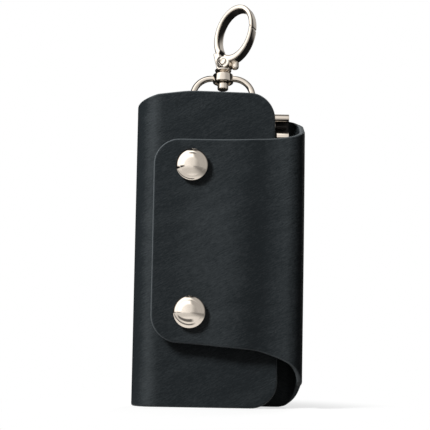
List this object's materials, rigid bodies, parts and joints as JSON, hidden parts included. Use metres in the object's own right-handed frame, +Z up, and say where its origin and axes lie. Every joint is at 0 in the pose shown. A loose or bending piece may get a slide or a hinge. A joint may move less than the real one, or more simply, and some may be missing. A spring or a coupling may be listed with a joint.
{
  "type": "key case",
  "caption": "Wrap-round leather key case with a snap-fastened flap, a bar of key hooks inside and a swivelling spring snap hook on a loop at the top.",
  "frame": {"origin": "middle of the lower edge that the closed case stands on", "axes": "+Z up towards the snap hook, the flap and its snaps face -Y, the outer flap folds round at +X"},
  "size_m": [0.063, 0.028, 0.1543],
  "materials": {
    "leather": "matt, fine grain",
    "polished_nickel": "polished, warm",
    "plain_steel": "plated, satin"
  },
  "bodies": {
    "case": {"back_panel": "leather", "key_bar": "polished_nickel", "key_rod": "plain_steel", "bar_rivet_1": "plain_steel", "bar_rivet_2": "plain_steel"},
    "right_fold": {"right_fold": "leather"},
    "outer_flap": {"outer_flap": "leather", "snap_cap_1": "polished_nickel", "snap_cap_2": "polished_nickel", "snap_socket_1": "plain_steel", "snap_socket_2": "plain_steel"},
    "left_fold": {"left_fold": "leather"},
    "inner_flap": {"inner_flap": "leather", "snap_stud_1": "plain_steel", "snap_stud_2": "plain_steel", "snap_eyelet_1": "plain_steel", "snap_eyelet_2": "plain_steel"},
    "swivel_loop": {"swivel_loop": "polished_nickel"},
    "snap_hook": {"hook_body": "polished_nickel", "gate_pin": "polished_nickel"},
    "snap_gate": {"snap_gate": "polished_nickel"},
    "key_hook_1": {"key_hook_1": "plain_steel"},
    "key_hook_gate_1": {"key_hook_gate_1": "plain_steel"},
    "key_hook_2": {"key_hook_2": "plain_steel"},
    "key_hook_gate_2": {"key_hook_gate_2": "plain_steel"},
    "key_hook_3": {"key_hook_3": "plain_steel"},
    "key_hook_gate_3": {"key_hook_gate_3": "plain_steel"},
    "key_hook_4": {"key_hook_4": "plain_steel"},
    "key_hook_gate_4": {"key_hook_gate_4": "plain_steel"},
    "key_hook_5": {"key_hook_5": "plain_steel"},
    "key_hook_gate_5": {"key_hook_gate_5": "plain_steel"},
    "key_hook_6": {"key_hook_6": "plain_steel"},
    "key_hook_gate_6": {"key_hook_gate_6": "plain_steel"}
  },
  "joints": [
    {"name": "right_fold_bend", "type": "hinge", "parent": "case", "child": "right_fold", "pos_m": [0.02943, 0.0075, 0], "axis": [0, 0, 1], "range_deg": [0, 85], "deforming": ["right_fold"]},
    {"name": "outer_flap_open", "type": "hinge", "parent": "right_fold", "child": "outer_flap", "pos_m": [0.02878, -0.00771, 0], "axis": [0, 0, 1], "range_deg": [0, 85]},
    {"name": "left_fold_bend", "type": "hinge", "parent": "case", "child": "left_fold", "pos_m": [-0.02943, 0.0075, 0], "axis": [0, 0, -1], "range_deg": [0, 26], "deforming": ["left_fold"]},
    {"name": "inner_flap_open", "type": "hinge", "parent": "left_fold", "child": "inner_flap", "pos_m": [-0.029, -0.00293, 0], "axis": [0, 0, -1], "range_deg": [0, 26]},
    {"name": "loop_tilt", "type": "hinge", "parent": "case", "child": "swivel_loop", "pos_m": [0.0006, 0.00535, 0.11242], "axis": [1, 0, 0], "range_deg": [-80, 40]},
    {"name": "hook_swivel", "type": "hinge", "parent": "swivel_loop", "child": "snap_hook", "pos_m": [0.0006, 0.00782, 0.1264], "axis": [0, 0.1736, 0.9848], "continuous": true},
    {"name": "snap_gate_press", "type": "hinge", "parent": "snap_hook", "child": "snap_gate", "pos_m": [0.0016, 0.00812, 0.13082], "axis": [-0.4226, -0.8925, 0.1574], "range_deg": [0, 25], "stiffness_Nm_per_rad": 0.02},
    {"name": "key_hook_1_swing", "type": "hinge", "parent": "case", "child": "key_hook_1", "pos_m": [-0.01875, 0.00437, 0.1057], "axis": [-1, 0, 0], "range_deg": [-2, 6]},
    {"name": "key_hook_gate_1_press", "type": "hinge", "parent": "key_hook_1", "child": "key_hook_gate_1", "pos_m": [-0.01875, 0.00287, 0.0991], "axis": [1, 0, 0], "range_deg": [0, 14], "stiffness_Nm_per_rad": 0.002},
    {"name": "key_hook_2_swing", "type": "hinge", "parent": "case", "child": "key_hook_2", "pos_m": [-0.01125, 0.00437, 0.1057], "axis": [-1, 0, 0], "range_deg": [-2, 6]},
    {"name": "key_hook_gate_2_press", "type": "hinge", "parent": "key_hook_2", "child": "key_hook_gate_2", "pos_m": [-0.01125, 0.00287, 0.0991], "axis": [1, 0, 0], "range_deg": [0, 14], "stiffness_Nm_per_rad": 0.002},
    {"name": "key_hook_3_swing", "type": "hinge", "parent": "case", "child": "key_hook_3", "pos_m": [-0.00375, 0.00437, 0.1057], "axis": [-1, 0, 0], "range_deg": [-2, 6]},
    {"name": "key_hook_gate_3_press", "type": "hinge", "parent": "key_hook_3", "child": "key_hook_gate_3", "pos_m": [-0.00375, 0.00287, 0.0991], "axis": [1, 0, 0], "range_deg": [0, 14], "stiffness_Nm_per_rad": 0.002},
    {"name": "key_hook_4_swing", "type": "hinge", "parent": "case", "child": "key_hook_4", "pos_m": [0.00375, 0.00437, 0.1057], "axis": [-1, 0, 0], "range_deg": [-2, 6]},
    {"name": "key_hook_gate_4_press", "type": "hinge", "parent": "key_hook_4", "child": "key_hook_gate_4", "pos_m": [0.00375, 0.00287, 0.0991], "axis": [1, 0, 0], "range_deg": [0, 14], "stiffness_Nm_per_rad": 0.002},
    {"name": "key_hook_5_swing", "type": "hinge", "parent": "case", "child": "key_hook_5", "pos_m": [0.01125, 0.00437, 0.1057], "axis": [-1, 0, 0], "range_deg": [-2, 6]},
    {"name": "key_hook_gate_5_press", "type": "hinge", "parent": "key_hook_5", "child": "key_hook_gate_5", "pos_m": [0.01125, 0.00287, 0.0991], "axis": [1, 0, 0], "range_deg": [0, 14], "stiffness_Nm_per_rad": 0.002},
    {"name": "key_hook_6_swing", "type": "hinge", "parent": "case", "child": "key_hook_6", "pos_m": [0.01875, 0.00437, 0.1057], "axis": [-1, 0, 0], "range_deg": [-2, 6]},
    {"name": "key_hook_gate_6_press", "type": "hinge", "parent": "key_hook_6", "child": "key_hook_gate_6", "pos_m": [0.01875, 0.00287, 0.0991], "axis": [1, 0, 0], "range_deg": [0, 14], "stiffness_Nm_per_rad": 0.002}
  ],
  "couplings": [
    {"joint": "outer_flap_open", "follows": "right_fold_bend", "ratio": 1},
    {"joint": "left_fold_bend", "follows": "right_fold_bend", "ratio": 0.3},
    {"joint": "inner_flap_open", "follows": "right_fold_bend", "ratio": 0.3}
  ]
}
